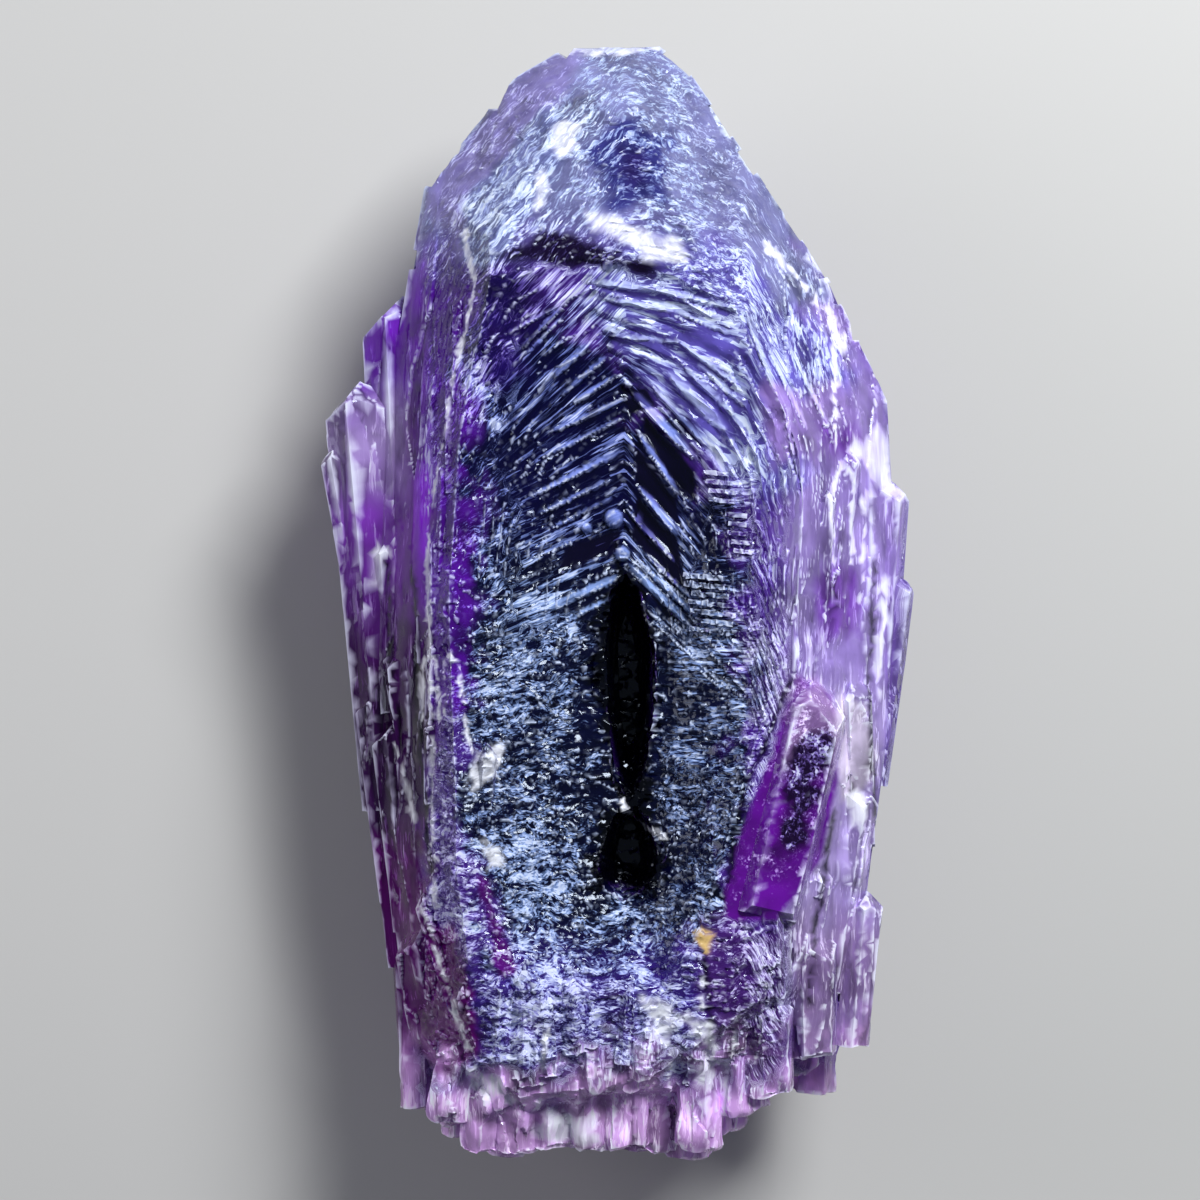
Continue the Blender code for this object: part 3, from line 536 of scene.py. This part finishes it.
# Each zone: its name, where it is, the tint of the stone there and the colour of its frost and
# painted glints. The tints of the pits, the dark facets and the dark band by the tip are painted
# shade, and the foot's is partly painted light
STONE_ELSEWHERE = "#6030b4"
FROST_AND_GLINTS_ELSEWHERE = "#b8b0ea"
ZONES = (
    ("right_side", right, "#a88edc", "#cebff0"),
    ("right_low", right * (1.0 - smooth(-12.0, -4.0, above)), "#b8a2e2", "#e0d4f6"),
    ("right_foot", right * (1.0 - smooth(-29.0, -23.0, above)), "#9c80b6", "#e6dcf2"),
    ("upper_right", zone(upper_right, 1.6), "#6a5ec4", "#c4d0f6"),
    ("smooth_lilac", zone(((12.0, 18.0), (19.6, 17.6), (19.2, 11.0), (12.6, 11.4)), 0.8),
     "#a88adc", "#cdbef0"),
    ("flushed", np.maximum(zone(((16.6, 2.6), (19.8, 2.6), (19.8, -2.6), (16.6, -2.6)), 1.0),
                           zone(((17.0, 14.0), (20.2, 14.0), (20.2, 12.0), (17.0, 12.0)), 0.6, 0.8)),
     "#8450c0", "#bfa8ea"),
    ("left_side", left, "#7c1ac6", "#9062d6"),
    ("lilac_band",
     zone(((-15.6, 26.0), (-11.0, 26.0), (-10.6, 4.0), (-11.4, -9.0), (-14.8, -9.0)), 0.8, 0.8),
     "#6612b8", "#8a5ee0"),
    ("left_crystals", left * smooth(-16.0, -17.0, place[:, 0]), "#6e309c", "#9a7cc0"),
    ("left_tops", left * smooth(-16.6, -18.0, place[:, 0]) * smooth(6.0, 13.0, above),
     "#967eb6", "#c8bade"),
    ("left_top", left * smooth(14.0, 20.0, above) * (1.0 - smooth(27.0, 31.0, above)),
     "#621ca2", "#9470d4"),
    ("left_low", left * (1.0 - smooth(-6.0, 6.0, above)), "#360848", "#8a62a8"),
    ("core", core, "#050238", "#7e8edc"),
    ("core_low", core * (1.0 - smooth(0.0, 9.0, above)), "#050830", "#8aa4dc"),
    ("dark_corner",
     zone(((-11.6, 27.0), (-7.0, 27.6), (-5.4, 24.0), (-7.6, 18.4), (-11.0, 18.0)), 1.4, 1.6),
     "#220a66", "#7a62c8"),
    ("low_front", (1.0 - smooth(-33.0, -25.0, above)) * front * (1.0 - right), "#42269a", "#b0b4ee"),
    ("low_right", zone(((7.4, -26.0), (14.4, -25.0), (14.6, -38.0), (6.4, -39.6)), 1.2, 1.6),
     "#5a2a92", "#c4b6ee"),
    ("low_left", np.maximum(left * (1.0 - smooth(-22.0, -16.0, above)), zone(low_left, 0.5, 0.8)),
     "#5c0468", "#a862c2"),
    ("low_purple", zone(((-11.8, -21.4), (-10.4, -22.4), (-8.0, -29.8), (-9.4, -30.0)), 0.3, 0.4),
     "#6a1090", "#a878d4"),
    ("tip", smooth(26.0, 33.0, above), "#8082b6", "#a2b4d6"),
    ("tip_left",
     zone(((-16.0, 33.4), (-13.0, 29.0), (-4.4, 41.6), (-2.6, 46.6), (-8.0, 44.6)), 0.8, 0.8),
     "#9086c8", "#b6b4e6"),
    ("tip_plate",
     zone(((-12.8, 32.8), (-5.7, 40.8), (-2.3, 39.0), (-5.7, 33.3), (-10.8, 27.1), (-12.2, 28.2)), 0.4, 0.6),
     "#7a80bc", "#b2c2e6"),
    ("tip_dark", zone(((-2.4, 37.4), (0.6, 39.4), (4.0, 38.0), (4.2, 32.6), (-0.6, 31.8)), 0.8, 1.2),
     "#3c3c8a", "#94a6da"),
    ("tip_right", zone(((5.4, 42.0), (8.4, 41.6), (18.0, 25.0), (13.4, 24.0), (6.6, 34.0)), 0.8),
     "#8686be", "#aebade"),
    # painted shade: the dark band under the overhang of the first step, whose face looks down
    ("dark_tip",
     zone(((-9.8, 27.4), (-6.0, 29.9), (-3.0, 29.4), (3.4, 27.0), (2.4, 25.8), (-4.0, 27.2)), 0.5, 0.8),
     "#16062e", "#5d52a0"),
    ("tip_hollow", zone(((0.2, 36.8), (2.2, 36.6), (2.4, 33.8), (0.6, 33.6)), 0.8), "#2e2468", "#6a68b0"),
    # the foot's pale pink is partly its own and partly painted light, the glow of light coming through it
    ("foot", 1.0 - smooth(-42.0, -34.0, above + 2.4 * ragged), "#e4b2f4", "#faeafc"),
    ("daughter", zone(DAUGHTER, 0.2, 0.2), "#8618c6", "#c9a4ee"),
    ("daughter_top", zone(((14.4, -5.6), (17.4, -7.4), (18.0, -11.6), (13.4, -12.6)), 0.8),
     "#be90de", "#ead8fa"),
    ("daughter_dark",
     zone(((15.6, -10.6), (16.8, -12.0), (16.4, -18.0), (13.6, -21.4), (12.4, -20.0), (13.4, -14.0)),
          0.5, 1.6),
     "#24063c", "#7a62b8"),
    ("pink_facet", zone(((17.8, -6.8), (20.4, -8.4), (21.2, -14.6), (18.4, -16.0)), 0.4, 0.4),
     "#dccdea", "#f6f0fc"),
    # painted shade on the facets that face away from the light
    ("dark_facets", dark, "#0b0628", "#5a58a8"),
    # painted shade in the deep pits
    ("pit", pit, "#010108", "#1c2238"),
)
tint = np.tile(linear(STONE_ELSEWHERE), (len(place), 1))
frost_and_glint_tint = np.tile(linear(FROST_AND_GLINTS_ELSEWHERE), (len(place), 1))
for _, where, stone_code, frost_and_glint_code in ZONES:
    tint += (linear(stone_code) - tint) * where[:, None]
    frost_and_glint_tint += (linear(frost_and_glint_code) - frost_and_glint_tint) * where[:, None]

# White patches, then broken edges as a bent line and half its width. The patches are chips and
# bruises, and the long pale patch on the tip, first in the list, is painted white
CHIPS = (
    ((-2.6, 31.6), (-0.8, 31.6), (4.9, 29.0), (5.4, 27.6), (3.4, 27.5), (-1.8, 30.4)),
    ((-4.6, 39.0), (-2.6, 39.2), (-3.6, 36.4), (-5.0, 35.8)),
    ((-6.6, 34.4), (-5.2, 35.2), (-6.2, 32.0), (-7.2, 31.6)),
    ((-20.2, 4.2), (-18.9, 4.4), (-19.1, 1.0), (-20.3, 0.8)),
    ((19.2, -15.9), (20.2, -15.9), (20.3, -17.7), (19.3, -17.9)),
    ((-12.0, -11.6), (-10.0, -11.9), (-9.8, -14.0), (-11.4, -14.4)),
    ((19.4, 12.4), (21.4, 14.6), (23.0, 13.6), (23.2, 9.4), (21.6, 9.6)),
    ((6.2, -33.2), (8.0, -33.6), (8.6, -37.6), (6.8, -38.6)),
    ((-10.9, -19.8), (-9.6, -19.7), (-9.3, -21.4), (-10.6, -21.6)),
    ((-12.2, -38.2), (-9.0, -38.0), (-8.4, -40.4), (-11.0, -41.0)),
    ((-8.0, -42.2), (-2.4, -42.0), (-2.0, -43.6), (-7.0, -44.2)),
    ((2.2, -32.0), (4.4, -32.2), (4.2, -36.0), (2.4, -35.6)),
)
CHIPPED_LINES = (
    (((-11.8, 24.5), (-13.5, 17.0), (-15.0, 8.7), (-15.4, 3.7), (-14.8, -24.7)), 0.14),
    (((-12.4, 31.0), (-11.6, 26.0), (-11.9, 24.6)), 0.22),
    (((18.2, 11.4), (17.4, 8.7), (17.6, 3.6)), 0.16), (((18.2, 11.4), (19.4, 10.4), (19.2, 3.4)), 0.12),
    (((21.2, 10.0), (20.4, 8.6), (20.0, 0.4)), 0.14), (((22.2, 2.0), (21.9, -0.4), (21.4, -7.6)), 0.28),
    (((-18.2, -11.8), (-16.6, -17.6)), 0.18),
    (((0.4, -16.1), (1.0, -17.5), (2.0, -18.4), (3.6, -18.8)), 0.22),
    (((3.4, -31.8), (4.4, -38.0), (4.0, -43.0)), 0.14), (((-4.0, 46.0), (3.6, 46.0)), 0.4),
    (((-5.6, -34.0), (-6.4, -41.0)), 0.14), (((-2.0, -36.0), (-2.2, -43.5)), 0.12),
    (((9.6, -33.0), (8.8, -41.5)), 0.14), (((7.6, -36.0), (7.4, -43.0)), 0.24),
    (((12.0, -30.0), (11.2, -38.0)), 0.12), (((7.0, -30.0), (6.4, -36.0)), 0.12),
    (((-15.9, -9.5), (-15.9, -5.0), (-15.2, -4.0), (-14.6, -5.0), (-14.5, -9.5)), 0.13),
    (((-14.1, -9.0), (-14.0, -4.6), (-13.4, -3.9), (-12.9, -5.0), (-11.9, -12.0)), 0.13),
    (((-16.2, -24.6), (-15.4, -26.2), (-12.0, -36.0)), 0.16), (((17.8, 12.6), (18.0, 22.0)), 0.12),
    (((12.4, 29.4), (17.4, 23.8), (19.2, 20.4)), 0.3),
)
# Cracks where two crystals meet, darkened with painted shade: no light comes out of them
CREVICES = (
    ((8.6, -23.6), (10.4, -14.6), (13.9, -6.2)), ((7.0, -26.6), (7.5, -33.0), (7.2, -37.0)),
    ((-19.7, 6.5), (-18.6, -3.0), (-17.7, -12.0)), ((-16.7, 3.0), (-16.1, -10.0), (-15.2, -22.0)),
    ((17.6, -17.0), (16.4, -24.0), (15.6, -33.0)), ((21.2, 4.0), (20.6, -6.0), (21.4, -20.0)),
)
# The one yellow-brown speck, a stain of iron
SPECK_MIDDLE = (6.7, -27.0)
SPECK_RADIUS = 0.75

chip = smooth(-0.25, 0.35, within_any(place, CHIPS) + 0.9 * ragged)
for line, half_width in CHIPPED_LINES:
    near = from_line(place + 0.22 * ragged[:, None], line) / half_width
    chip = np.maximum(chip, smooth(-1.3, -0.3, 1.6 * torn + 0.8 * ragged - near))
# painted highlights on the sloping faces of the growth blades and on the knobs, painted shade below the
# blades
_, highlit_faces, blade_shade = blades(place)
for middle, radius in KNOBS:
    away = np.hypot(place[:, 0] - middle[0], place[:, 1] - middle[1])
    highlit_faces = np.maximum(highlit_faces, smooth(1.1, 0.8, away / radius))
away = np.hypot(place[:, 0] - SPECK_MIDDLE[0], place[:, 1] - SPECK_MIDDLE[1])
speck = smooth(-0.2, 0.2, SPECK_RADIUS - away + 0.7 * torn) * front

masks = {name: where for name, where, _, _ in ZONES}
crevice = np.zeros(len(place))
for line in CREVICES:
    away = from_line(place + 0.3 * ragged[:, None], line)
    crevice = np.maximum(crevice, smooth(-0.30, -0.06, 0.10 * torn - away))
# the sides and the foot, where everything runs up the crystal
upright = (left + right > 0.6) | (place[:, 1] + 5.0 * ragged < -37.0) | (outward[:, 2] < 0.2)
upright &= masks["daughter"] < 0.5
_, prism_tone = broken_facets(place / PRISM_SIZE, 91)
clouds = 1.0 + upright * (0.35 * prism_tone + 0.25 * lumps(place, (0.45, 1.5, 0.45), 63))
clouds += 0.30 * lumps(place, (2.6, 2.6, 2.6), 61) + 0.25 * lumps(place, (1.1, 1.1, 1.1), 62)
# painted shade in the cracks between crystals; the clouds are the stone's own uneven tone
tint[:, :3] *= ((1.0 - 0.85 * crevice) * clouds)[:, None]
# How much of each zone is etched to frost with its painted glints, and how much light the rest lets
# through
FLECKS_ELSEWHERE = 0.52
FLECKS = (
    ("right_side", 0.18), ("upper_right", 0.62), ("smooth_lilac", 0.20), ("left_side", 0.04),
    ("lilac_band", 0.18), ("left_crystals", 0.06), ("left_low", 0.08), ("core", 0.31), ("core_low", 0.48),
    ("low_front", 0.64), ("low_right", 0.50), ("low_left", 0.12), ("low_purple", 0.16), ("tip", 0.48),
    ("tip_left", 0.30), ("tip_plate", 0.58), ("tip_dark", 0.40), ("tip_right", 0.36), ("tip_hollow", 0.20),
    ("dark_tip", 0.20), ("dark_corner", 0.34), ("foot", 0.32), ("daughter", 0.10), ("daughter_top", 0.24),
    ("daughter_dark", 0.36), ("pink_facet", 0.15), ("dark_facets", 0.0), ("pit", 0.0),
)
FROSTED = 0.8
FROSTED_PATCHES = (
    ((-13.2, 19.6), (-10.0, 19.8), (-9.6, 14.4), (-12.8, 13.6)),
    ((-15.4, -24.0), (-11.4, -24.4), (-10.6, -27.6), (-14.6, -27.0)),
)
CLEAR_ELSEWHERE = 0.6
CLEARNESS = (
    ("right_side", 0.42), ("upper_right", 0.40), ("left_side", 0.22), ("left_low", 0.24), ("core", 0.45),
    ("low_left", 0.22), ("tip", 0.36), ("foot", 0.30), ("daughter", 0.60), ("pink_facet", 0.25),
)
fleck = np.full(len(place), FLECKS_ELSEWHERE)
for name, amount in FLECKS:
    fleck += (amount - fleck) * masks[name]
for corners in FROSTED_PATCHES:
    fleck = np.maximum(fleck, FROSTED * zone(corners, 0.8))
fleck += 0.20 * lumps(place, (4.0, 4.0, 4.0), 71) + 0.20 * lumps(place, (1.9, 1.3, 1.9), 72)
# painted shade: less frost below the growth blades and round the pits, where the stone lies in shade
fleck -= 0.45 * blade_shade * front + 0.45 * smooth(-2.6, -0.2, near_pit + 1.6 * ragged) * front
fleck *= 0.55 + 0.45 * smooth(0.0, 0.3, outward[:, 2])
fleck *= (1.0 - masks["dark_facets"]) * (1.0 - pit) * (1.0 - crevice)
clear = np.full(len(place), CLEAR_ELSEWHERE)
for name, amount in CLEARNESS:
    clear += (amount - clear) * masks[name]
# edges painted pale, partly as wear and partly as painted highlights on the crests, more of them on
# the sides than on the front
crest = crests(stone.data, place, outward)
on_sides = (1.0 - core) * (left + right > 0.4)
worn_and_highlit = np.maximum(smooth(0.20, 0.50, crest), on_sides * smooth(0.12, 0.30, crest)) * (1.0 - pit)

# Streaks of etching: how long and wide they are, and which way they lie. They follow the growth
# lines on the arches, lie across the crystal low on its front and run up it on its sides and foot.
# Their sizes along x, y and z, or along and across the growth lines, in millimetres
SHORT_STREAK = (0.72, 0.34, 0.7)
LEVEL_STREAK = (2.2, 0.34, 0.8)
ARCH_STREAK = (3.0, 0.42, 1.2)
UPRIGHT_STREAK = (0.46, 4.0, 0.6)
DAUGHTER_SPOT = 0.55
# Where the streaks on the arches end on their right, at five heights
ARM_HEIGHTS = (-4.0, 4.0, 10.0, 14.0, 18.0)
ARM_ENDS = (5.0, 6.4, 8.6, 11.0, 15.0)

along, leaves_spine = growth_lines(place)
bend = 0.40 * lumps(place, (1.5, 1.5, 1.5), 81) + 0.22 * lumps(place, (0.7, 0.7, 0.7), 82)
curl = 0.40 * lumps(place, (1.5, 1.5, 1.5), 83) + 0.22 * lumps(place, (0.7, 0.7, 0.7), 84)
x, y, z = place.T
streaks = np.stack([along + curl, leaves_spine + bend, z], axis=1) / SHORT_STREAK
level_streaks = np.stack([x, y + 0.2 * bend, z], axis=1) / LEVEL_STREAK
arch_streaks = np.stack([along, leaves_spine + 0.25 * bend, z], axis=1) / ARCH_STREAK
upright_streaks = np.stack([x + 0.3 * bend, y + curl, z], axis=1) / UPRIGHT_STREAK
arm_end = np.interp(y, ARM_HEIGHTS, ARM_ENDS)
on_arch = (leaves_spine + 2.5 * ragged > 0.5) & (along + 1.5 * ragged > -9.5) & (step > -5.5)
on_arch &= (y + 0.5 * np.maximum(along, 0.0) + 3.0 * ragged < 27.0) & (along + 1.6 * ragged < arm_end)
on_level = (x + 0.8 * ragged > 3.6) & (x + 1.2 * ragged < 11.4) & (y + 2.0 * ragged > -14.0)
on_level &= (y + 0.8 * ragged < 10.8) & ~on_arch
on_arch &= masks["daughter"] < 0.5
streaks[on_level] = level_streaks[on_level]
streaks[masks["daughter"] > 0.5] = place[masks["daughter"] > 0.5] / DAUGHTER_SPOT
streaks[on_arch] = arch_streaks[on_arch]
streaks[upright] = upright_streaks[upright]

mark("tint", tint)
mark("frost_and_glint_tint", frost_and_glint_tint)
mark("streaks", streaks)
mark("worn_and_highlit", worn_and_highlit)
mark("chip", np.clip(chip, 0.0, 1.0) * front)
mark("highlit_face", highlit_faces * front)
mark("speck", speck)
mark("fleck", np.clip(fleck, 0.0, 1.0))
mark("clear", np.clip(clear, 0.0, 1.0))


# --- The stone's surface ----------------------------------------------------------------------
# Bare quartz, as clear and glossy as glass where a face is whole. Etching, growth lines and worn
# edges break that gloss: they scatter the light and look like a pale, slightly blue frost. That frost
# also carries painted highlights, the glints off the etched facets and their crests.
QUARTZ_IOR = 1.544
FACE_SHINE = 0.22            # less than a polished face has, for every real one is a little etched
SHINE_TINT = "#e5efff"       # cool, so that a frosted face looks blue rather than grey
DEPTH_COLOUR = "#e23fe7"     # at this density 10 mm of stone lets through 62% of the red, 15% of the
DEPTH_DENSITY = 200.0        # green and 67% of the blue
# white of the worn edges and of the painted highlights on them
WORN_AND_HIGHLIGHT_WHITE = "#e8eefa"
CHALK_WHITE = "#f2f3fb"
IRON_STAIN = "#d2b070"
# Patterns to one streak: the finest real flakes are a few hundredths of a millimetre wide, too fine
# to show, and are drawn about a tenth wide, three to the width of a streak
SOFT_PATTERN = 0.5
FLAKES = 1.2
FINE_FLAKES = 3.0

amethyst = bpy.data.materials.new("etched_amethyst_quartz")
amethyst.use_nodes = True
amethyst.node_tree.nodes.clear()


def add(kind, inputs, out=0, **settings):
    """Adds a node to the stone's material, sets it up and gives back one of its outputs."""
    node = amethyst.node_tree.nodes.new(kind)
    for name, value in settings.items():
        setattr(node, name, value)
    for key, value in inputs.items():
        if isinstance(value, bpy.types.NodeSocket):
            amethyst.node_tree.links.new(value, node.inputs[key])
        else:
            node.inputs[key].default_value = value
    return node.outputs[out] if node.outputs else node


marks = {
    name: add("ShaderNodeAttribute", {}, 2, attribute_name=name)
    for name in ("worn_and_highlit", "chip", "highlit_face", "speck", "fleck", "clear")
}
# etched streaks from near black to frosted white, the whitest of them painted glints: soft ones, and
# small flakes each of its own tone
lie = add("ShaderNodeAttribute", {}, 1, attribute_name="streaks")
streak = add("ShaderNodeTexNoise", {"Vector": lie, "Scale": SOFT_PATTERN, "Detail": 3.0, "Roughness": 0.6})
flake = add("ShaderNodeTexVoronoi", {"Vector": lie, "Scale": FLAKES}, 1)
flake_part = add("ShaderNodeSeparateColor", {0: flake})
fine = add("ShaderNodeTexVoronoi", {"Vector": lie, "Scale": FINE_FLAKES}, 1)
fine_part = add("ShaderNodeSeparateColor", {0: fine})
etched = add("ShaderNodeMath", {0: flake_part, 1: 0.26, 2: streak}, operation="MULTIPLY_ADD")
etched = add("ShaderNodeMath", {0: fine_part, 1: 0.26, 2: etched}, operation="MULTIPLY_ADD")
etched = add("ShaderNodeMath", {0: marks["fleck"], 1: 0.50, 2: etched}, operation="MULTIPLY_ADD")
flecks = add("ShaderNodeMapRange", {0: etched, 1: 1.00, 2: 1.22})
# painted highlights: thin bright ledges between the streaks
ledge_highlight = add("ShaderNodeMath", {0: streak, 1: -0.5}, operation="ADD")
ledge_highlight = add("ShaderNodeMath", {0: ledge_highlight}, operation="ABSOLUTE")
ledge_highlight = add("ShaderNodeMapRange", {0: ledge_highlight, 1: 0.0, 2: 0.018, 3: 1.3, 4: 0.0})
ledge_highlight = add("ShaderNodeMath", {0: ledge_highlight, 1: marks["fleck"]}, operation="MULTIPLY")
ledge_highlight = add("ShaderNodeMath", {0: ledge_highlight, 1: fine_part}, operation="MULTIPLY")

# painted highlights on the edges, which are also worn, and on the sloping faces of the growth blades
worn_and_highlit = add("ShaderNodeMapRange", {0: streak, 1: 0.35, 2: 0.55, 3: 0.35, 4: 1.0})
worn_and_highlit = add("ShaderNodeMath", {0: worn_and_highlit, 1: marks["worn_and_highlit"]}, operation="MULTIPLY")
blade_highlight = add("ShaderNodeMapRange", {0: streak, 1: 0.38, 2: 0.54, 3: 0.35, 4: 1.0})
blade_highlight = add("ShaderNodeMath", {0: blade_highlight, 1: marks["highlit_face"]}, operation="MULTIPLY")

# the tint of the stone, the frost and painted glints over it, and white on the brightest painted
# glints, on the worn and highlit edges and on what is chipped
frost_and_glints = add("ShaderNodeMath", {0: flecks, 1: ledge_highlight}, operation="MAXIMUM")
frost_and_glints = add("ShaderNodeMath", {0: frost_and_glints, 1: worn_and_highlit}, operation="MAXIMUM")
frost_and_glints = add("ShaderNodeMath", {0: frost_and_glints, 1: blade_highlight}, operation="MAXIMUM", use_clamp=True)
stone_tint = add("ShaderNodeAttribute", {}, 0, attribute_name="tint")
frost_and_glint_colour = add("ShaderNodeAttribute", {}, 0, attribute_name="frost_and_glint_tint")
colour = add("ShaderNodeMix", {0: frost_and_glints, 6: stone_tint, 7: frost_and_glint_colour}, 2, data_type="RGBA")
whitest = add("ShaderNodeMapRange", {0: etched, 1: 1.16, 2: 1.30, 3: 0.0, 4: 0.6})
edges = add("ShaderNodeMath", {0: worn_and_highlit, 1: 0.75}, operation="MULTIPLY")
whitest = add("ShaderNodeMath", {0: whitest, 1: edges}, operation="MAXIMUM")
colour = add("ShaderNodeMix", {0: whitest, 6: colour, 7: linear(WORN_AND_HIGHLIGHT_WHITE)}, 2, data_type="RGBA")
chalk = add("ShaderNodeMapRange", {0: streak, 1: 0.35, 2: 0.6, 3: 0.4, 4: 1.0})
chalk = add("ShaderNodeMath", {0: chalk, 1: marks["chip"]}, operation="MULTIPLY")
colour = add("ShaderNodeMix", {0: chalk, 6: colour, 7: linear(CHALK_WHITE)}, 2, data_type="RGBA")
colour = add("ShaderNodeMix", {0: marks["speck"], 6: colour, 7: linear(IRON_STAIN)}, 2, data_type="RGBA")

# light goes through where the stone has neither frost nor painted glints, and each flake leans its
# own way
dull = add("ShaderNodeMath", {0: frost_and_glints, 1: marks["chip"]}, operation="MAXIMUM")
dull = add("ShaderNodeMath", {0: dull, 1: marks["speck"]}, operation="MAXIMUM")
through = add(
    "ShaderNodeMath", {0: dull, 1: -0.9, 2: marks["clear"]}, operation="MULTIPLY_ADD", use_clamp=True
)
gloss = add("ShaderNodeMapRange", {0: fine_part, 3: 0.05, 4: 0.20})
rough = add("ShaderNodeMath", {0: dull, 1: 0.30, 2: gloss}, operation="MULTIPLY_ADD", use_clamp=True)
lean = add("ShaderNodeVectorMath", {0: flake, 1: (-0.5, -0.5, -0.5)}, operation="ADD")
lean = add("ShaderNodeVectorMath", {0: lean, 3: marks["fleck"]}, operation="SCALE")
faces = add("ShaderNodeNewGeometry", {}, 1)
faces = add("ShaderNodeVectorMath", {0: lean, 1: (0.9, 0.9, 0.9), 2: faces}, operation="MULTIPLY_ADD")
faces = add("ShaderNodeVectorMath", {0: faces}, operation="NORMALIZE")
shader = add("ShaderNodeBsdfPrincipled", {
    "Base Color": colour, "Roughness": rough, "Transmission Weight": through, "Normal": faces,
    "IOR": QUARTZ_IOR, "Specular IOR Level": FACE_SHINE, "Specular Tint": linear(SHINE_TINT),
})
depth = add("ShaderNodeVolumeAbsorption", {"Color": linear(DEPTH_COLOUR), "Density": DEPTH_DENSITY})
add("ShaderNodeOutputMaterial", {"Surface": shader, "Volume": depth})
stone.data.materials.append(amethyst)

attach(stone, "root")
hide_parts("amethyst_crystal")


# --- Where it lies ----------------------------------------------------------------------------
# A plain table top under the stone, which isn't part of it. Its pale grey paint is matt, so that it
# shows the stone's soft shadow and no reflection.
TABLE_REACH_MM = 600.0
TABLE_GAP_MM = 0.05          # it lies this far under the stone, so that their faces don't coincide

floor_mesh = bpy.data.meshes.new("table_top")
bm = bmesh.new()
bmesh.ops.create_grid(bm, x_segments=1, y_segments=1, size=TABLE_REACH_MM * 0.001)
bm.to_mesh(floor_mesh)
bm.free()
floor = bpy.data.objects.new("table_top", floor_mesh)
floor.location.z = -TABLE_GAP_MM * 0.001
bpy.context.scene.collection.objects.link(floor)
paint = bpy.data.materials.new("pale_matt_paint")
paint.use_nodes = True
coat = paint.node_tree.nodes["Principled BSDF"].inputs
coat["Base Color"].default_value = linear("#c8c6c2")
coat["Roughness"].default_value = 0.8
floor_mesh.materials.append(paint)


# --- Light and camera -------------------------------------------------------------------------
# A bright window high beyond the tip on the right, a weak one low on the left, and dim air all round.
# The camera looks straight down on the front face, from far enough that its sides don't lean out.
AIM_MM = (0.0, 0.0, 10.0)
FRAME_MM = 100.0             # how much the picture takes in, and from how far
STAND_OFF_MM = 350.0
CAMERA_MM = (-1.42, 0.33, 13.0 + STAND_OFF_MM)


def soft_light(name, place_mm, size_mm, watts, tint):
    """A rectangular lamp that points at the stone."""
    light = bpy.data.lights.new(name, "AREA")
    light.shape = "RECTANGLE"
    light.size = size_mm[0] * 0.001
    light.size_y = size_mm[1] * 0.001
    light.energy = watts
    light.color = linear(tint)[:3]
    lamp = bpy.data.objects.new(name, light)
    lamp.location = Vector(place_mm) * 0.001
    aim = Vector(AIM_MM) * 0.001 - lamp.location
    lamp.rotation_mode = "QUATERNION"
    lamp.rotation_quaternion = aim.to_track_quat("-Z", "Y")
    bpy.context.scene.collection.objects.link(lamp)


soft_light("window", (170.0, 230.0, 300.0), (180.0, 130.0), 2.2, "#f9fcff")
soft_light("side_window", (-310.0, 60.0, 130.0), (240.0, 160.0), 0.34, "#fcf9ff")
world = bpy.data.worlds.new("studio_air")
world.use_nodes = True
air = world.node_tree.nodes["Background"].inputs
air["Color"].default_value = linear("#ddeaff")
air["Strength"].default_value = 0.15
bpy.context.scene.world = world
# the plain transform keeps the strength of deep purples
bpy.context.scene.view_settings.view_transform = "Standard"

view = bpy.data.cameras.new("front_view")
view.lens = view.sensor_width * STAND_OFF_MM / FRAME_MM
view.clip_start = 0.01
camera = bpy.data.objects.new("front_view", view)
camera.location = Vector(CAMERA_MM) * 0.001
bpy.context.scene.collection.objects.link(camera)
bpy.context.scene.camera = camera
